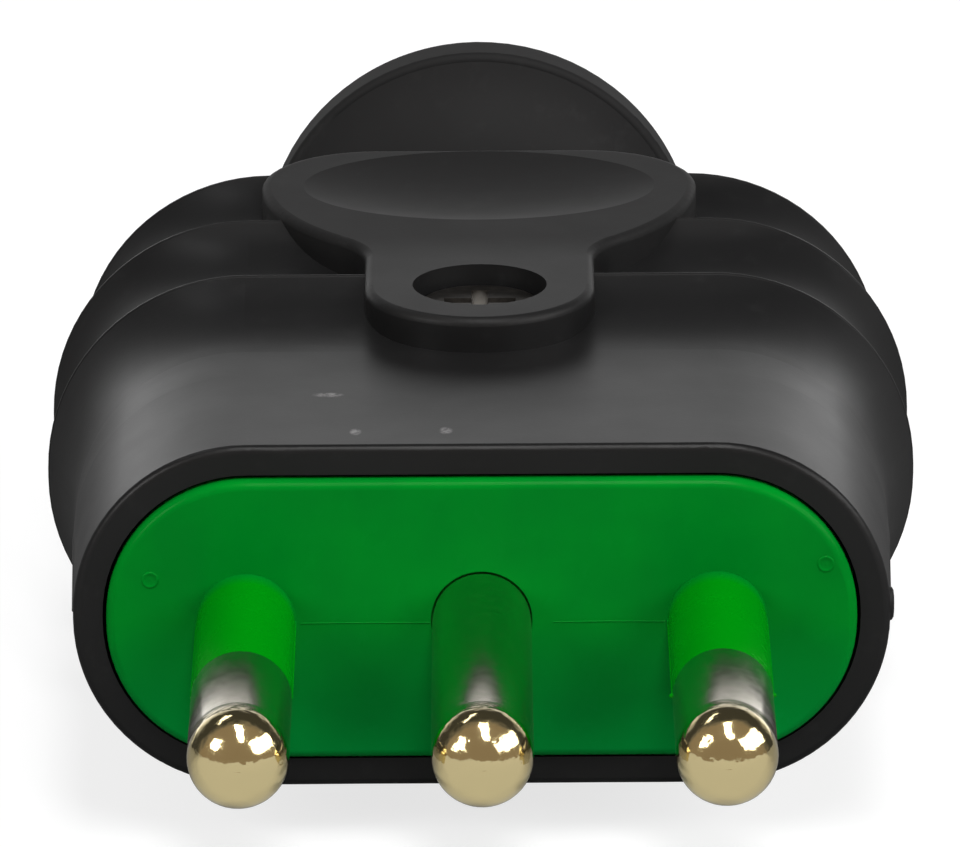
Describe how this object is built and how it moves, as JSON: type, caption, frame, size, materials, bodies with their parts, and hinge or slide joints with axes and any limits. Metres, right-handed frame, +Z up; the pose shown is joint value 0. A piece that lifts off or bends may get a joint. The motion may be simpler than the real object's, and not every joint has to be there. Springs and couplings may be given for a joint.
{
  "type": "grounded mains plug",
  "caption": "In-line mains plug with a flat row of round pins, an earth pin in the middle, a ribbed hollow grip body and a round flanged cord outlet.",
  "frame": {"origin": "middle of the flat pin face, on the axis of the earth pin", "axes": "+Y from the pin face towards the cord outlet, the pins point to -Y; +X along the row of pins to the live pin; +Z up, to the plate with the cover screw"},
  "size_m": [0.0364, 0.0741, 0.0194],
  "materials": {
    "black_plastic": "fine satin moulded black",
    "green_plastic": "smooth semi-gloss green",
    "plated_brass": "polished nickel plate",
    "zinc_steel": "bright zinc plate",
    "black_rubber": "soft matt"
  },
  "bodies": {
    "root": {"cover": "black_plastic", "pin_carrier": "green_plastic", "live_pin": "plated_brass", "neutral_pin": "plated_brass", "earth_pin": "plated_brass", "live_screw": "zinc_steel", "neutral_screw": "zinc_steel", "earth_screw": "zinc_steel", "live_pad": "zinc_steel", "neutral_pad": "zinc_steel", "earth_pad": "zinc_steel", "cover_screw": "zinc_steel", "cover_nut": "zinc_steel", "cord_clamp": "black_plastic", "clamp_screw_left": "zinc_steel", "clamp_screw_right": "zinc_steel", "cord_grommet": "black_rubber"}
  },
  "joints": []
}
